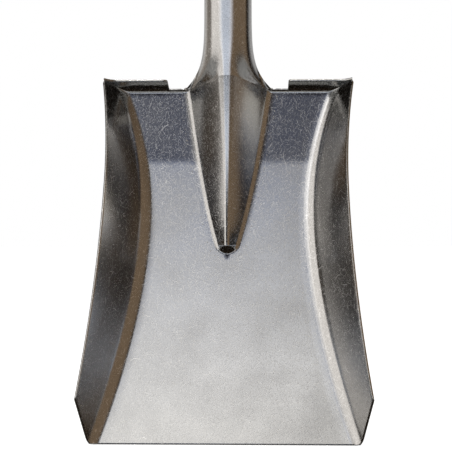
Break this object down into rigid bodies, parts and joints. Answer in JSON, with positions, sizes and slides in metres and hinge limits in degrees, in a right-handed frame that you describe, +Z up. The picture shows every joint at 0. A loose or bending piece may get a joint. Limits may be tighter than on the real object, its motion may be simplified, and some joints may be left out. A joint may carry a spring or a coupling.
{
  "type": "square mouth shovel",
  "caption": "Square mouth shovel with a pressed steel pan, turned treads, a raised frog, a welded socket and an ash shaft split into a Y grip.",
  "frame": {"origin": "middle of the mouth's cut edge", "axes": "+Z up along the shaft, from the mouth to the grip; the hollow face of the pan looks towards -Y; +X runs along the mouth"},
  "size_m": [0.2502, 0.1177, 0.9983],
  "materials": {
    "head_steel": "tumbled bright steel with fine scratches in every direction",
    "rivet_steel": "plain bright steel",
    "ash_wood": "sanded ash under thin clear lacquer"
  },
  "bodies": {
    "root": {"blade": "head_steel", "socket": "head_steel", "back_plate": "head_steel", "shaft": "ash_wood", "grip_crossbar": "ash_wood", "grip_rivet": "rivet_steel", "grip_washer_left": "rivet_steel", "grip_washer_right": "rivet_steel", "throat_rivet": "rivet_steel", "throat_washer_left": "rivet_steel", "throat_washer_right": "rivet_steel", "socket_rivet_lower": "rivet_steel", "socket_rivet_upper": "rivet_steel"}
  },
  "joints": []
}
